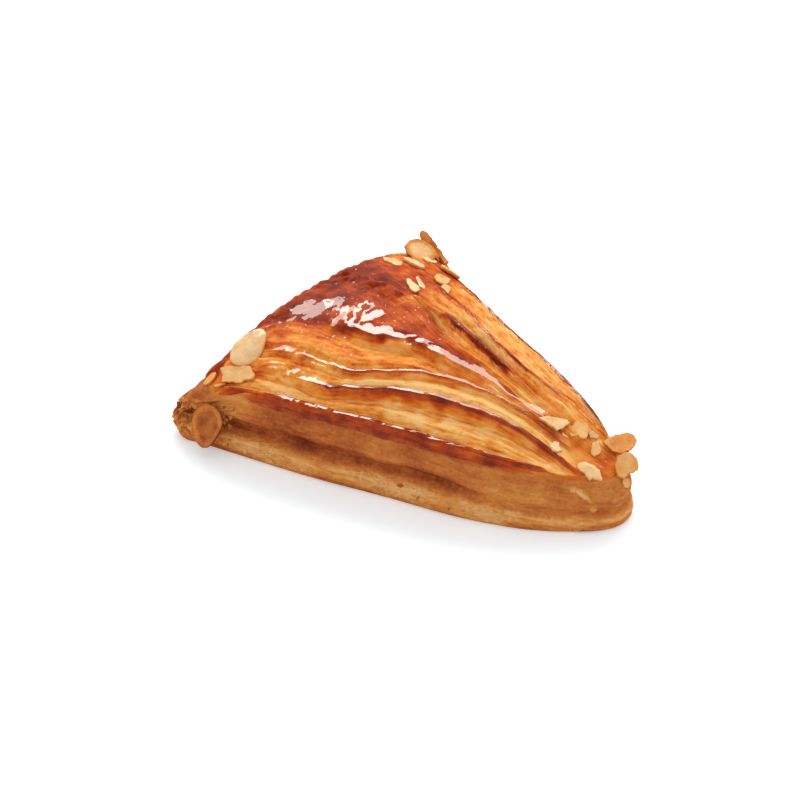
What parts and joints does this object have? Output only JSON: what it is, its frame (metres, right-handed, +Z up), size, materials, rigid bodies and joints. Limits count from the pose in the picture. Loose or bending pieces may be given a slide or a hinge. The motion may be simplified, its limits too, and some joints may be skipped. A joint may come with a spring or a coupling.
{
  "type": "puff pastry triangle",
  "caption": "Baked puff pastry triangle with a domed glazed top, slashed in arcs that meet at the narrow tip, flaky sides and sliced almonds on its corners.",
  "frame": {"origin": "on the face the pastry rests on, under the middle of its top, 66 mm from the broad side's rim", "axes": "+X from the broad side to the narrow tip, +Y towards the back corner, +Z up"},
  "size_m": [0.1587, 0.1273, 0.0439],
  "materials": {
    "crust": "baked laminated crust under a glossy egg wash",
    "almond": "dry toasted sliced almond"
  },
  "bodies": {
    "root": {"pastry": "crust", "almond_front_1": "almond", "almond_front_2": "almond", "almond_front_3": "almond", "almond_back_1": "almond", "almond_back_2": "almond", "almond_back_3": "almond", "almond_back_4": "almond", "almond_back_5": "almond", "almond_back_6": "almond", "almond_tip_1": "almond", "almond_tip_2": "almond", "almond_tip_3": "almond", "almond_tip_4": "almond", "almond_tip_5": "almond"}
  },
  "joints": []
}
